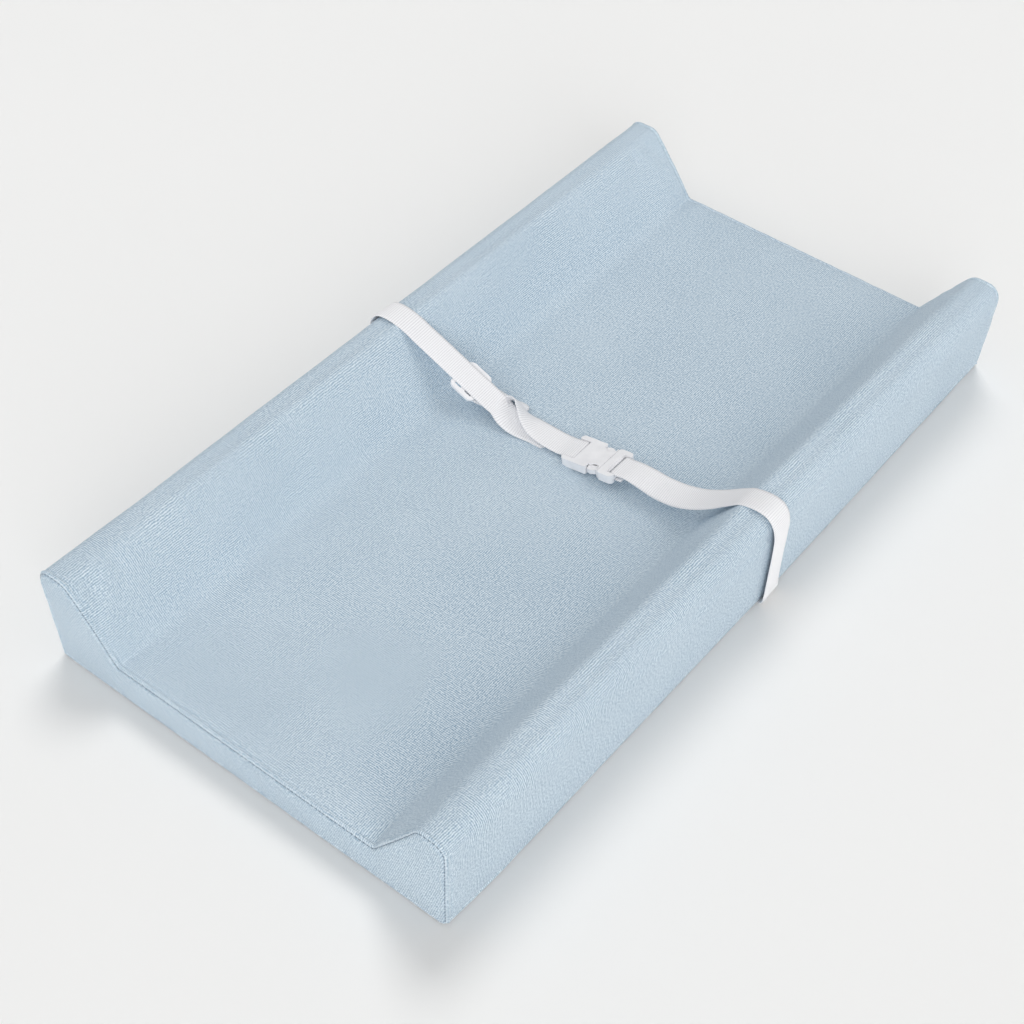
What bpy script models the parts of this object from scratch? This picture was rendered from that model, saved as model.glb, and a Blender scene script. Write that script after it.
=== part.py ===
"""Contoured baby changing pad: a glued foam core in a zipped cover, with a buckled safety belt.

Metres, +Z up. The origin is on the surface that the pad lies on, under the middle of the pad.
X runs across the pad, Y along its length, and the belt crosses it along X.
"""
import math

import bmesh
import bpy
from mathutils import Matrix, Vector

# ---- pad -------------------------------------------------------------------------------------
PAD_LENGTH = 0.792
BASE_HALF_WIDTH = 0.203
WALL_LEAN = 0.0035          # each outer wall leans out by this much at the crown
CROWN_HEIGHT = 0.098
MIDDLE_HEIGHT = 0.035
VALLEY_HALF_WIDTH = 0.1344
CROWN_INNER_HALF_WIDTH = 0.179
CROWN_OUTER_RADIUS = 0.013
CROWN_INNER_RADIUS = 0.010
VALLEY_RADIUS = 0.012
ARC_STEPS = 6

COVER_THICKNESS = 0.0012
BASE_SHEET_THICKNESS = 0.0016
BASE_CORNER_RADIUS = 0.006
GAP = 0.0003                # air between neighbouring pieces
HEM_HEIGHT = BASE_SHEET_THICKNESS + GAP

# ---- zip in the underside --------------------------------------------------------------------
ZIP_WINDOW_HALF_WIDTH = 0.009
ZIP_WINDOW_LENGTH = 0.560
ZIP_GROOVE_HALF_WIDTH = 0.0165
ZIP_GROOVE_HEIGHT = 0.0085
TAPE_THICKNESS = 0.0005
TAPE_LENGTH = ZIP_WINDOW_LENGTH + 0.010
CHAIN_LEVEL = 0.0046        # height of the middle of the zip's chain
CHAIN_WIDTH = 0.0020
CHAIN_HEIGHT = 0.0018
CHAIN_LENGTH = 0.545
STOP_LENGTH = 0.003
SLIDER_WIDTH = 0.008
SLIDER_LENGTH = 0.010
SLIDER_NECK_LENGTH = 0.0022
SLIDER_PLATE = 0.0010
SLIDER_NECK_WIDTH = 0.0014
SLIDER_Y = CHAIN_LENGTH / 2 + 2 * GAP + SLIDER_NECK_LENGTH - SLIDER_LENGTH / 2   # the zip is closed
PULL_AXIS_HEIGHT = 0.00145
PULL_LENGTH = 0.022
PULL_WIDTH = 0.007
PULL_THICKNESS = 0.0008

# ---- belt ------------------------------------------------------------------------------------
BELT_WIDTH = 0.0254
BELT_THICKNESS = 0.0013
BELT_Y = 0.0255
BELT_LEFT_SLANT = 0.061         # the left belt drifts this far along Y for each metre of X
BELT_WALL_GAP = 0.0009
BELT_CREASE_RADIUS = 0.0019
BELT_ANCHOR_X = 0.150
BELT_UNDER_LEVEL = 0.00085      # the sewn ends lie in notches of the base sheet
BELT_NOTCH_HALF_WIDTH = 0.0150
BELT_NOTCH_DEPTH = 0.056

# ---- buckle, in its own frame: X along the belt, Z out of its face -----------------------------
BUCKLE_ORIGIN = Vector((0.01075, BELT_Y, 0.04227))
BUCKLE_PITCH = math.radians(10.5)
BUCKLE_HALF_HEIGHT = 0.0043
RAIL_END_X = -0.012
RAIL_HALF_WIDTH = 0.018
BELT_OPENING_HALF_WIDTH = 0.0133
BAR_HALF_HEIGHT = 0.0015
FEMALE_BAR_X = (-0.0082, -0.0032)
WINDOW_X = (0.015, 0.025)
WINDOW_PLATE_HALF_WIDTH = 0.0122
MOUTH_X = 0.0276
MOUTH_HALF_WIDTH = 0.0164
CAVITY_BACK_X = 0.002
CAVITY_HALF_WIDTH = 0.0142
CAVITY_HALF_HEIGHT = 0.0027
SCALLOP_CENTRE = (0.0218, 0.0144)
SCALLOP_RADIUS = 0.0052
MALE_X = (0.0280, 0.0435)
MALE_SLOT_X = (0.0360, 0.0392)
MALE_HALF_WIDTH = 0.0182
MALE_POCKET_Y = (0.0060, 0.0138)
MALE_POCKET_END_X = 0.0358
MALE_EDGE_SAG = 0.0012
GUIDE_TIP_X = 0.006
GUIDE_HALF_WIDTH = 0.0032
GUIDE_HALF_HEIGHT = 0.0018
PRONG_PIVOT = (0.0340, 0.0095)
PRONG_HALF_HEIGHT = 0.0023
MOULDED_EDGE = 0.0011

# ---- tri-glide, in its own frame on the left belt -----------------------------------------------
GLIDE_X = -0.110
GLIDE_HALF_LENGTH = 0.0135
GLIDE_HALF_WIDTH = 0.0180
GLIDE_CORNER_RADIUS = 0.006
GLIDE_HALF_HEIGHT = 0.0013
GLIDE_SLOT_X = (0.0022, 0.0092)
GLIDE_SLOT_HALF_WIDTH = 0.0138
GLIDE_BELOW_BELT = BELT_THICKNESS / 2 + GLIDE_HALF_HEIGHT + 2 * GAP

FABRIC_BLUE = (0.53, 0.65, 0.74)
FOAM_CREAM = (0.86, 0.83, 0.72)
BASE_GREY = (0.60, 0.63, 0.66)
WEBBING_WHITE = (0.86, 0.86, 0.87)
PLASTIC_WHITE = (0.80, 0.80, 0.82)
ZIP_BLUE = (0.45, 0.56, 0.66)
ZIP_METAL = (0.62, 0.63, 0.65)


# ---- outlines ----------------------------------------------------------------------------------
def filleted(corners):
    """Points of an open path through (x, y, radius) corners, with each corner rounded by an arc."""
    points = [Vector(corners[0][:2])]
    for before, corner, after in zip(corners, corners[1:], corners[2:]):
        tip = Vector(corner[:2])
        back = (Vector(before[:2]) - tip).normalized()
        ahead = (Vector(after[:2]) - tip).normalized()
        half_angle = back.angle(ahead) / 2
        radius = corner[2]
        if radius == 0:
            points.append(tip)
            continue
        centre = tip + (back + ahead).normalized() * radius / math.sin(half_angle)
        start = tip + back * radius / math.tan(half_angle) - centre
        end = tip + ahead * radius / math.tan(half_angle) - centre
        turn = -start.angle_signed(end)
        for step in range(ARC_STEPS + 1):
            points.append(centre + Matrix.Rotation(turn * step / ARC_STEPS, 2) @ start)
    points.append(Vector(corners[-1][:2]))
    return points


def offset(path, distance):
    """The open path moved sideways, to the right of its direction."""
    moved = []
    for index, point in enumerate(path):
        into = (point - path[max(index - 1, 0)]).normalized()
        out = (path[min(index + 1, len(path) - 1)] - point).normalized()
        into = into if index > 0 else out
        out = out if index < len(path) - 1 else into
        mean = (into + out).normalized()
        side = Vector((mean.y, -mean.x))
        moved.append(point + side * distance / max(mean.dot(into), 0.3))
    return moved


def band(path, near, far):
    """The closed outline of a sheet that lies between two offsets of a path."""
    return offset(path, near) + list(reversed(offset(path, far)))


def smooth_path(points, steps=6):
    """A Catmull-Rom curve through the points."""
    ends = [2 * points[0] - points[1]] + points + [2 * points[-1] - points[-2]]
    path = []
    for p0, p1, p2, p3 in zip(ends, ends[1:], ends[2:], ends[3:]):
        for step in range(steps):
            t = step / steps
            path.append(0.5 * (2 * p1 + (p2 - p0) * t + (2 * p0 - 5 * p1 + 4 * p2 - p3) * t * t
                               + (3 * p1 - p0 - 3 * p2 + p3) * t * t * t))
    return path + [points[-1]]


def rectangle(x0, x1, y0, y1):
    return [Vector((x0, y0)), Vector((x1, y0)), Vector((x1, y1)), Vector((x0, y1))]


def mirrored(half):
    """A closed outline from the points of its upper half."""
    return half + [Vector((point.x, -point.y)) for point in reversed(half)]


def skin(bottom):
    """The pad's outer section, from the foot of the left wall over the top to the right foot."""
    lean_x = BASE_HALF_WIDTH + WALL_LEAN
    half = [(BASE_HALF_WIDTH, bottom, 0),
            (lean_x, CROWN_HEIGHT, CROWN_OUTER_RADIUS),
            (CROWN_INNER_HALF_WIDTH, CROWN_HEIGHT, CROWN_INNER_RADIUS),
            (VALLEY_HALF_WIDTH, MIDDLE_HEIGHT, VALLEY_RADIUS)]
    left = [(-x, z, radius) for x, z, radius in half]
    return filleted(left + list(reversed(half)))


# ---- objects -----------------------------------------------------------------------------------
def start_scene():
    for old in list(bpy.data.objects):
        bpy.data.objects.remove(old, do_unlink=True)
    collections = []
    for name in ("changing_pad", "cutters"):
        collection = bpy.data.collections.new(name)
        bpy.context.scene.collection.children.link(collection)
        collections.append(collection)
    return collections


def material(name, colour, roughness, metallic=0.0):
    made = bpy.data.materials.new(name)
    made.use_nodes = True
    shader = made.node_tree.nodes["Principled BSDF"]
    shader.inputs["Base Color"].default_value = (*colour, 1.0)
    shader.inputs["Roughness"].default_value = roughness
    shader.inputs["Metallic"].default_value = metallic
    return made


def outline_mesh(name, rings, thickness):
    """One welded, closed mesh: a filled outline, with any holes, given its thickness along Z."""
    curve = bpy.data.curves.new(name, "CURVE")
    curve.dimensions = "2D"
    curve.fill_mode = "BOTH"
    curve.extrude = thickness / 2
    for ring in rings:
        spline = curve.splines.new("POLY")
        spline.points.add(len(ring) - 1)
        spline.use_cyclic_u = True
        for spline_point, point in zip(spline.points, ring):
            spline_point.co = (point.x, point.y, 0.0, 1.0)
    holder = bpy.data.objects.new(name, curve)
    bpy.context.scene.collection.objects.link(holder)
    depsgraph = bpy.context.evaluated_depsgraph_get()
    mesh = bpy.data.meshes.new_from_object(holder.evaluated_get(depsgraph))
    bpy.data.objects.remove(holder, do_unlink=True)
    bpy.data.curves.remove(curve)
    shape = bmesh.new()
    shape.from_mesh(mesh)
    bmesh.ops.remove_doubles(shape, verts=shape.verts, dist=1e-6)
    bmesh.ops.recalc_face_normals(shape, faces=shape.faces)
    shape.to_mesh(mesh)
    shape.free()
    return mesh


def place(name, mesh, finish=None, parent=None, location=(0, 0, 0), rotation=(0, 0, 0)):
    made = bpy.data.objects.new(name, mesh)
    (PARTS if finish else CUTTERS).objects.link(made)
    made.location = location
    made.rotation_euler = rotation
    made.parent = parent
    if finish:
        mesh.materials.clear()
        mesh.materials.append(finish)
        mesh.shade_smooth()
        mesh.set_sharp_from_angle(angle=math.radians(35))
    else:
        made.hide_render = True
        made.display_type = "WIRE"
    return made


def empty(name, location, rotation):
    made = bpy.data.objects.new(name, None)
    PARTS.objects.link(made)
    made.location = location
    made.rotation_euler = rotation
    return made


UPRIGHT = (math.radians(90), 0, 0)      # turns an outline in X and Y into a section in X and Z


def upright(name, outline, depth, finish, y=0.0):
    """A section in X and Z, given its depth along Y."""
    return place(name, outline_mesh(name, [outline], depth), finish, None, (0, y, 0), UPRIGHT)


def box_mesh(x, y, z):
    """A box from three (low, high) pairs."""
    mesh = bpy.data.meshes.new("box")
    shape = bmesh.new()
    bmesh.ops.create_cube(shape, size=1.0)
    for vert in shape.verts:
        for axis, (low, high) in enumerate((x, y, z)):
            vert.co[axis] = low if vert.co[axis] < 0 else high
    shape.to_mesh(mesh)
    shape.free()
    return mesh


def bevel(made, width, segments=2):
    modifier = made.modifiers.new("rounded_edges", "BEVEL")
    modifier.width = width
    modifier.segments = segments
    modifier.limit_method = "ANGLE"
    modifier.angle_limit = math.radians(40)


def combine(made, mesh, operation, name, parent):
    """Joins a mesh to an object, or cuts it away, through a guide in the cutters collection."""
    guide = place(f"{made.name}_{name}", mesh, None, parent)
    modifier = made.modifiers.new(name, "BOOLEAN")
    modifier.operation = operation
    modifier.object = guide


def cut(made, mesh, name, parent=None):
    combine(made, mesh, "DIFFERENCE", name, parent)


# ---- foam core -----------------------------------------------------------------------------------
def foam():
    finish = material("foam", FOAM_CREAM, 0.95)
    inset = COVER_THICKNESS + GAP
    length = PAD_LENGTH - 2 * inset
    top = MIDDLE_HEIGHT - inset
    inner_skin = offset(skin(HEM_HEIGHT), inset)
    half_width_low = BASE_HALF_WIDTH - inset
    half_width_high = half_width_low + WALL_LEAN * top / CROWN_HEIGHT
    slab = [Vector((-half_width_low, HEM_HEIGHT)),
            Vector((-ZIP_GROOVE_HALF_WIDTH, HEM_HEIGHT)),
            Vector((-ZIP_GROOVE_HALF_WIDTH, ZIP_GROOVE_HEIGHT)),
            Vector((ZIP_GROOVE_HALF_WIDTH, ZIP_GROOVE_HEIGHT)),
            Vector((ZIP_GROOVE_HALF_WIDTH, HEM_HEIGHT)),
            Vector((half_width_low, HEM_HEIGHT)),
            Vector((half_width_high, top)),
            Vector((-half_width_high, top))]
    upright("foam_base_slab", slab, length, finish)

    glue_line = top + GAP
    foot = glue_line + 0.0004
    right = [point for point in inner_skin if point.x > 0 and point.y > foot]
    slope = (right[1] - right[0]).normalized()
    toe = Vector((right[0].x - slope.x * (right[0].y - glue_line) / slope.y, glue_line))
    heel = Vector((half_width_low + WALL_LEAN * glue_line / CROWN_HEIGHT, glue_line))
    wedge = [toe] + right + [heel]
    upright("foam_bolster_right", wedge, length, finish)
    upright("foam_bolster_left", [Vector((-point.x, point.y)) for point in wedge], length, finish)


# ---- cover ---------------------------------------------------------------------------------------
def cover():
    finish = material("cover_fabric", FABRIC_BLUE, 0.75)
    outer = skin(HEM_HEIGHT)
    upright("cover_main_panel", band(outer, 0, COVER_THICKNESS),
            PAD_LENGTH - 2 * (COVER_THICKNESS + GAP), finish)
    for name, side in (("cover_end_panel_front", -1), ("cover_end_panel_back", 1)):
        upright(name, outer, COVER_THICKNESS, finish, y=side * (PAD_LENGTH - COVER_THICKNESS) / 2)

    base_finish = material("base_fabric", BASE_GREY, 0.85)
    right_notch = (BELT_Y - BELT_NOTCH_HALF_WIDTH, BELT_Y + BELT_NOTCH_HALF_WIDTH)
    left_shift = BASE_HALF_WIDTH * BELT_LEFT_SLANT
    left_notch = (right_notch[0] - left_shift, right_notch[1] - left_shift + 0.003)
    x_edge = BASE_HALF_WIDTH
    y_edge = PAD_LENGTH / 2
    x_notch = x_edge - BELT_NOTCH_DEPTH
    corner = BASE_CORNER_RADIUS
    edge = filleted([(x_notch, right_notch[0], 0), (x_edge, right_notch[0], 0), (x_edge, -y_edge, corner),
                     (-x_edge, -y_edge, corner), (-x_edge, left_notch[0], 0),
                     (-x_notch, left_notch[0], 0), (-x_notch, left_notch[1], 0),
                     (-x_edge, left_notch[1], 0), (-x_edge, y_edge, corner),
                     (x_edge, y_edge, corner), (x_edge, right_notch[1], 0), (x_notch, right_notch[1], 0)])
    window = rectangle(-ZIP_WINDOW_HALF_WIDTH, ZIP_WINDOW_HALF_WIDTH,
                       -ZIP_WINDOW_LENGTH / 2, ZIP_WINDOW_LENGTH / 2)
    sheet = outline_mesh("cover_bottom_panel", [edge, window], BASE_SHEET_THICKNESS)
    place("cover_bottom_panel", sheet, base_finish, location=(0, 0, BASE_SHEET_THICKNESS / 2))


# ---- zip -----------------------------------------------------------------------------------------
def zipper():
    tape_finish = material("zip_tape", ZIP_BLUE, 0.85)
    chain_finish = material("zip_chain", ZIP_BLUE, 0.45)
    metal_finish = material("zip_metal", ZIP_METAL, 0.35, 1.0)
    chain_inner = GAP
    chain_outer = chain_inner + CHAIN_WIDTH
    tape_level = HEM_HEIGHT + 2 * GAP
    tape = [Vector((chain_outer + GAP, CHAIN_LEVEL)), Vector((0.0060, CHAIN_LEVEL)),
            Vector((0.0100, tape_level)), Vector((0.0155, tape_level))]
    chain_half = CHAIN_HEIGHT / 2
    for name, side in (("right", 1), ("left", -1)):
        section = band([Vector((side * point.x, point.y)) for point in tape],
                       -TAPE_THICKNESS / 2, TAPE_THICKNESS / 2)
        upright(f"zipper_tape_{name}", section, TAPE_LENGTH, tape_finish)
        chain_x = sorted((side * chain_inner, side * chain_outer))
        chain = place(f"zipper_chain_{name}",
                      box_mesh(chain_x, (-CHAIN_LENGTH / 2, CHAIN_LENGTH / 2), (-chain_half, chain_half)),
                      chain_finish, location=(0, 0, CHAIN_LEVEL))
        bevel(chain, 0.0005)
    for name, stop_y in (("back", SLIDER_Y + SLIDER_LENGTH / 2 + GAP + STOP_LENGTH / 2),
                         ("front", -CHAIN_LENGTH / 2 - GAP - STOP_LENGTH / 2)):
        stop = place(f"zipper_stop_{name}",
                     box_mesh((-chain_outer, chain_outer), (-STOP_LENGTH / 2, STOP_LENGTH / 2),
                              (-chain_half, chain_half)),
                     metal_finish, location=(0, stop_y, CHAIN_LEVEL))
        bevel(stop, 0.0004)
    zipper_slider(metal_finish)
    zipper_pull(metal_finish)


def zipper_slider(finish):
    """Two plates on a neck that parts the chain, and an arched bail that carries the pull."""
    half_width = SLIDER_WIDTH / 2
    half_length = SLIDER_LENGTH / 2
    channel = CHAIN_HEIGHT / 2 + 0.0004
    outside = channel + SLIDER_PLATE
    slider = place("zipper_slider", box_mesh((-half_width, half_width), (-half_length, half_length),
                                             (-outside, outside)),
                   finish, location=(0, SLIDER_Y, CHAIN_LEVEL))
    bevel(slider, 0.0007)
    neck_start = half_length - SLIDER_NECK_LENGTH
    cut(slider, box_mesh((-0.02, 0.02), (-0.02, neck_start), (-channel, channel)), "channel", slider)
    for name, side in (("left_way", -1), ("right_way", 1)):
        way = sorted((side * SLIDER_NECK_WIDTH / 2, side * 0.02))
        cut(slider, box_mesh(way, (-0.019, 0.019), (-channel, channel)), name, slider)
    bail_low = 0.0003 - CHAIN_LEVEL
    combine(slider, box_mesh((-0.0010, 0.0010), (-0.0026, 0.0026), (bail_low, 0.0001 - channel)),
            "UNION", "bail", slider)
    cut(slider, box_mesh((-0.0030, 0.0030), (-0.0016, 0.0016), (bail_low + 0.0006, -outside)),
        "bail_eye", slider)


def zipper_pull(finish):
    """A tab whose cross-bar passes through the bail. Its origin is on the cross-bar's axis."""
    half_width = PULL_WIDTH / 2
    outline = filleted([(0, 0.0005, 0), (0.0005, half_width * 0.8, 0.0004),
                        (-0.010, half_width, 0.003), (-PULL_LENGTH, half_width * 0.7, 0.002),
                        (-PULL_LENGTH, 0, 0)])
    window = rectangle(-0.0045, -0.0004, -0.0016, 0.0016)
    mesh = outline_mesh("zipper_pull", [mirrored(outline[1:-1]), window], PULL_THICKNESS)
    place("zipper_pull", mesh, finish, location=(0, SLIDER_Y, PULL_AXIS_HEIGHT),
          rotation=(0, 0, math.radians(90)))


# ---- belt ----------------------------------------------------------------------------------------
def wall_path():
    """The belt from its sewn end under the pad, up the outer wall and over the crown, at +X."""
    stand_off = BELT_WALL_GAP + BELT_THICKNESS / 2
    turn_x = BASE_HALF_WIDTH + stand_off
    under = [(BELT_ANCHOR_X, BELT_UNDER_LEVEL, 0), (turn_x, BELT_UNDER_LEVEL, BELT_CREASE_RADIUS),
             (BASE_HALF_WIDTH + WALL_LEAN + stand_off, CROWN_HEIGHT + stand_off,
              CROWN_OUTER_RADIUS + stand_off),
             (0.186, CROWN_HEIGHT + stand_off, 0)]
    return filleted(under)


def buckle_point(x, z):
    """A point of the buckle's frame, as X and Z of the pad's frame."""
    turned = Matrix.Rotation(-BUCKLE_PITCH, 3, "Y") @ Vector((x, 0, z))
    return Vector((BUCKLE_ORIGIN.x + turned.x, BUCKLE_ORIGIN.z + turned.z))


def belt():
    finish = material("webbing", WEBBING_WHITE, 0.8)
    half = BELT_THICKNESS / 2
    layer = BAR_HALF_HEIGHT + half + GAP + 0.0001

    def strap(name, path, slant=0.0):
        made = upright(name, band(path, -half, half), BELT_WIDTH, finish, BELT_Y)
        shear = Matrix.Identity(4)
        shear[2][0] = -slant
        made.data.transform(shear)

    right_wall = wall_path()
    strap("belt_right_wall", right_wall)
    left_wall = [Vector((-point.x, point.y)) for point in right_wall]
    strap("belt_left_wall", left_wall, BELT_LEFT_SLANT)

    crown = right_wall[-1]
    free = [crown - Vector((GAP, 0)), Vector((0.176, 0.0968)), Vector((0.166, 0.0890)),
            Vector((0.150, 0.0760)), Vector((0.131, 0.0635)), Vector((0.112, 0.0560)),
            Vector((0.094, 0.0535)), Vector((0.076, 0.0546)), buckle_point(0.054, layer),
            buckle_point(0.046, layer),
            buckle_point(0.0400, layer), buckle_point(0.0385, layer - 0.0006), buckle_point(0.0377, 0.0006)]
    strap("belt_right_free", smooth_path(free))
    fold = [buckle_point(0.0377, 0), buckle_point(0.0385, 0.0006 - layer),
            buckle_point(0.0400, -layer), buckle_point(0.046, -layer),
            buckle_point(0.056, 0.0004 - layer)]
    strap("belt_right_fold", smooth_path(fold))

    start = left_wall[-1]
    span = [start + Vector((GAP, 0)), Vector((-0.176, 0.0965)), Vector((-0.160, 0.0885)),
            Vector((-0.135, 0.0762)), Vector((GLIDE_X, 0.0640)), Vector((-0.085, 0.0520)),
            Vector((-0.062, 0.0438)), Vector((-0.038, 0.0405)), buckle_point(-0.020, layer - 0.0002),
            buckle_point(-0.0095, layer), buckle_point(-0.0040, layer),
            buckle_point(-0.0024, layer - 0.0006), buckle_point(-0.0016, 0.0006)]
    strap("belt_left_span", smooth_path(span), BELT_LEFT_SLANT)
    glide_slope = (span[5] - span[3]).normalized()
    below = Vector((glide_slope.y, -glide_slope.x))
    back = [buckle_point(-0.0016, 0), buckle_point(-0.0024, 0.0006 - layer),
            buckle_point(-0.0040, -layer), buckle_point(-0.0095, -layer),
            buckle_point(-0.020, -layer + 0.0003), Vector((-0.038, 0.0374)), Vector((-0.060, 0.0390)),
            Vector((-0.078, 0.0440)),
            span[4] + glide_slope * 0.016 + below * (GLIDE_BELOW_BELT + GLIDE_HALF_HEIGHT + 0.0016),
            span[4] + below * (GLIDE_BELOW_BELT + GLIDE_HALF_HEIGHT + half + 2 * GAP)]
    strap("belt_left_return", smooth_path(back), BELT_LEFT_SLANT)
    tri_glide(span[4] + below * GLIDE_BELOW_BELT, glide_slope)


def tri_glide(centre, slope):
    """A flat three-bar slider: two slots in a rounded plate."""
    finish = material("tri_glide_plastic", PLASTIC_WHITE, 0.35)
    length, width, radius = GLIDE_HALF_LENGTH, GLIDE_HALF_WIDTH, GLIDE_CORNER_RADIUS
    outline = filleted([(-length, 0, 0), (-length, width, radius), (length, width, radius), (length, 0, 0)])
    slot_near, slot_far = GLIDE_SLOT_X
    slots = [rectangle(slot_near, slot_far, -GLIDE_SLOT_HALF_WIDTH, GLIDE_SLOT_HALF_WIDTH),
             rectangle(-slot_far, -slot_near, -GLIDE_SLOT_HALF_WIDTH, GLIDE_SLOT_HALF_WIDTH)]
    mesh = outline_mesh("tri_glide_slider", [mirrored(outline[1:-1])] + slots, 2 * GLIDE_HALF_HEIGHT)
    turn = (0, -math.atan2(slope.y, slope.x), math.atan(BELT_LEFT_SLANT))
    glide = place("tri_glide_slider", mesh, finish, None,
                  (centre.x, BELT_Y + centre.x * BELT_LEFT_SLANT, centre.y), turn)
    bevel(glide, 0.0007)


# ---- buckle --------------------------------------------------------------------------------------
def buckle():
    finish = material("buckle_plastic", PLASTIC_WHITE, 0.35)
    frame = empty("buckle_frame", BUCKLE_ORIGIN, (0, -BUCKLE_PITCH, 0))
    buckle_female(finish, frame)
    buckle_male(finish, frame)
    for name, side in (("near", -1), ("far", 1)):
        buckle_prong(f"buckle_prong_{name}", side, finish, frame)


def buckle_female(finish, frame):
    """The socket: rails and a bar for the belt, a hollow body, and posts that catch the prongs."""
    rail, plate, high = RAIL_HALF_WIDTH, WINDOW_PLATE_HALF_WIDTH, BUCKLE_HALF_HEIGHT
    half = filleted([(RAIL_END_X, 0, 0), (RAIL_END_X, rail, 0.0035), (WINDOW_X[0], rail, 0.0012),
                     (WINDOW_X[0], plate, 0), (WINDOW_X[1], plate, 0), (WINDOW_X[1], MOUTH_HALF_WIDTH, 0),
                     (MOUTH_X, MOUTH_HALF_WIDTH, 0.0008), (MOUTH_X, 0, 0)])
    female = place("buckle_female", outline_mesh("buckle_female", [mirrored(half[1:-1])], 2 * high),
                   finish, frame)
    bevel(female, MOULDED_EDGE, 3)
    opening = (-BELT_OPENING_HALF_WIDTH, BELT_OPENING_HALF_WIDTH)
    bar_left, bar_right = FEMALE_BAR_X
    cut(female, box_mesh((bar_right, 0), opening, (-0.01, 0.01)), "belt_slot", frame)
    cut(female, box_mesh((-0.02, bar_left), opening, (-0.01, 0.01)), "rail_gap", frame)
    cut(female, box_mesh((-0.021, -0.0001), opening, (BAR_HALF_HEIGHT, 0.011)), "upper_recess", frame)
    cut(female, box_mesh((-0.021, -0.0001), opening, (-0.011, -BAR_HALF_HEIGHT)), "lower_recess", frame)
    cut(female, box_mesh((CAVITY_BACK_X, 0.04), (-CAVITY_HALF_WIDTH, CAVITY_HALF_WIDTH),
                         (-CAVITY_HALF_HEIGHT, CAVITY_HALF_HEIGHT)), "cavity", frame)
    for name, side in (("near_scallop", -1), ("far_scallop", 1)):
        ring = [Vector((SCALLOP_CENTRE[0] + SCALLOP_RADIUS * math.cos(math.tau * step / 24),
                        side * SCALLOP_CENTRE[1] + SCALLOP_RADIUS * 0.97 * math.sin(math.tau * step / 24)))
                for step in range(24)]
        cut(female, outline_mesh(name, [ring], 0.03), name, frame)


def buckle_male(finish, frame):
    """The plug's base: a plate with ears and a bar for the belt, and the centre guide."""
    left, right = MALE_X
    wide, high = MALE_HALF_WIDTH, BUCKLE_HALF_HEIGHT
    half = filleted([(left, 0, 0), (left, wide, 0.003), (right, wide, 0.0035), (right, 0, 0)])
    male = place("buckle_male_base", outline_mesh("buckle_male_base", [mirrored(half[1:-1])], 2 * high),
                 finish, frame)
    bevel(male, MOULDED_EDGE, 3)
    opening = (-BELT_OPENING_HALF_WIDTH, BELT_OPENING_HALF_WIDTH)
    slot_left, slot_right = MALE_SLOT_X
    cut(male, box_mesh((slot_left, slot_right), opening, (-0.01, 0.01)), "belt_slot", frame)
    edge = [Vector((slot_left - MALE_EDGE_SAG * (1 - step * step / 36), step / 6 * BELT_OPENING_HALF_WIDTH))
            for step in range(-6, 7)]
    recess = edge + [Vector((0.05, BELT_OPENING_HALF_WIDTH)), Vector((0.05, -BELT_OPENING_HALF_WIDTH))]
    for name, side in (("upper_recess", 1), ("lower_recess", -1)):
        mesh = outline_mesh(name, [recess], 0.02)
        mesh.transform(Matrix.Translation((0, 0, side * (BAR_HALF_HEIGHT + 0.01))))
        cut(male, mesh, name, frame)
    for name, side in (("near_pocket", -1), ("far_pocket", 1)):
        pocket = sorted(side * edge_y for edge_y in MALE_POCKET_Y)
        cut(male, box_mesh((left - 0.01, MALE_POCKET_END_X - 0.0014), pocket,
                           (-CAVITY_HALF_HEIGHT, CAVITY_HALF_HEIGHT)), name, frame)
    combine(male, box_mesh((GUIDE_TIP_X, left + 0.002), (-GUIDE_HALF_WIDTH, GUIDE_HALF_WIDTH),
                           (-GUIDE_HALF_HEIGHT, GUIDE_HALF_HEIGHT)), "UNION", "guide", frame)


def buckle_prong(name, side, finish, frame):
    """A springy arm with a button that the fingers press. Its origin is where the arm bends."""
    outline = filleted([(0.0340, 0.0080, 0), (0.0340, 0.0112, 0.0010), (0.0262, 0.0118, 0.001),
                        (0.0246, 0.0153, 0.0006), (0.0205, 0.0174, 0.004), (0.0162, 0.0164, 0.0012),
                        (0.0160, 0.0130, 0.0010), (0.0085, 0.0116, 0.0010), (0.0080, 0.0088, 0.0008),
                        (0.0130, 0.0088, 0.002), (0.0200, 0.0105, 0.004), (0.0262, 0.0080, 0.003),
                        (0.0340, 0.0080, 0)])[:-1]
    pivot = Vector((PRONG_PIVOT[0], side * PRONG_PIVOT[1]))
    local = [Vector((point.x, side * point.y)) - pivot for point in outline]
    prong = place(name, outline_mesh(name, [local], 2 * PRONG_HALF_HEIGHT), finish, frame,
                  (pivot.x, pivot.y, 0))
    bevel(prong, 0.0004)


PARTS, CUTTERS = start_scene()
foam()
cover()
zipper()
belt()
buckle()
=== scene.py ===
"""Looks of the baby changing pad: the sewn cover, the webbing belt, the zip and the foam.

Metres, in the frame of the CAD model: X across the pad, Y along it, +Z up.
"""
import math

import bmesh
import bpy
import numpy as np
from mathutils import Matrix, Vector


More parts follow.
